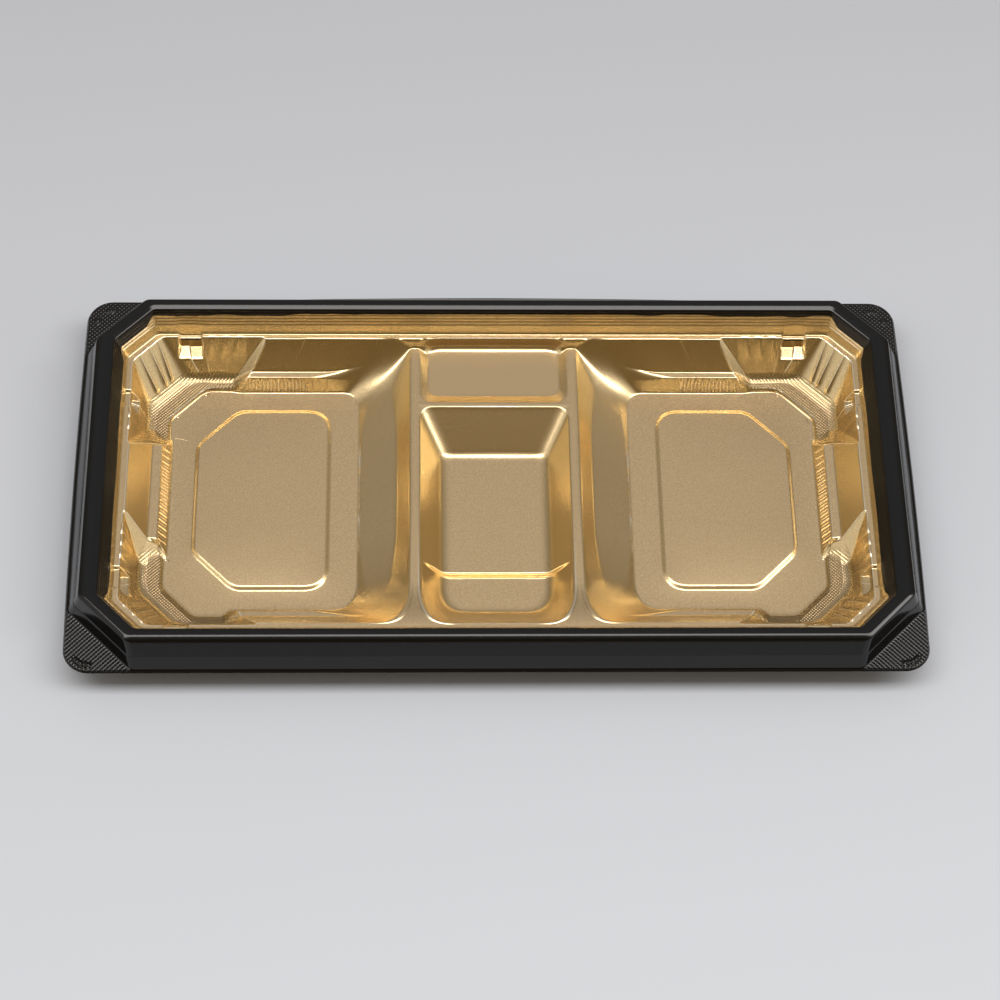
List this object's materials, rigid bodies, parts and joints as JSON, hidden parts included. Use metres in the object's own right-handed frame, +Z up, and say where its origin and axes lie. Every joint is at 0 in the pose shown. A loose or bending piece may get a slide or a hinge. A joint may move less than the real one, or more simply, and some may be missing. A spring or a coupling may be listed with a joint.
{
  "type": "bento tray",
  "caption": "Shallow oblong disposable food tray with cut corners, corner tabs and compartments, formed from black sheet with a gold film bonded to its inside.",
  "frame": {"origin": "on the table under the tray's middle", "axes": "+X along the tray's length to the right, +Y to the rear, +Z up"},
  "size_m": [0.2622, 0.1328, 0.0232],
  "materials": {
    "black_plastic": "satin black polystyrene sheet",
    "gold_film": "fine-grained satin gold metallised film"
  },
  "bodies": {
    "root": {"tray_shell": "black_plastic", "gold_film": "gold_film"}
  },
  "joints": []
}
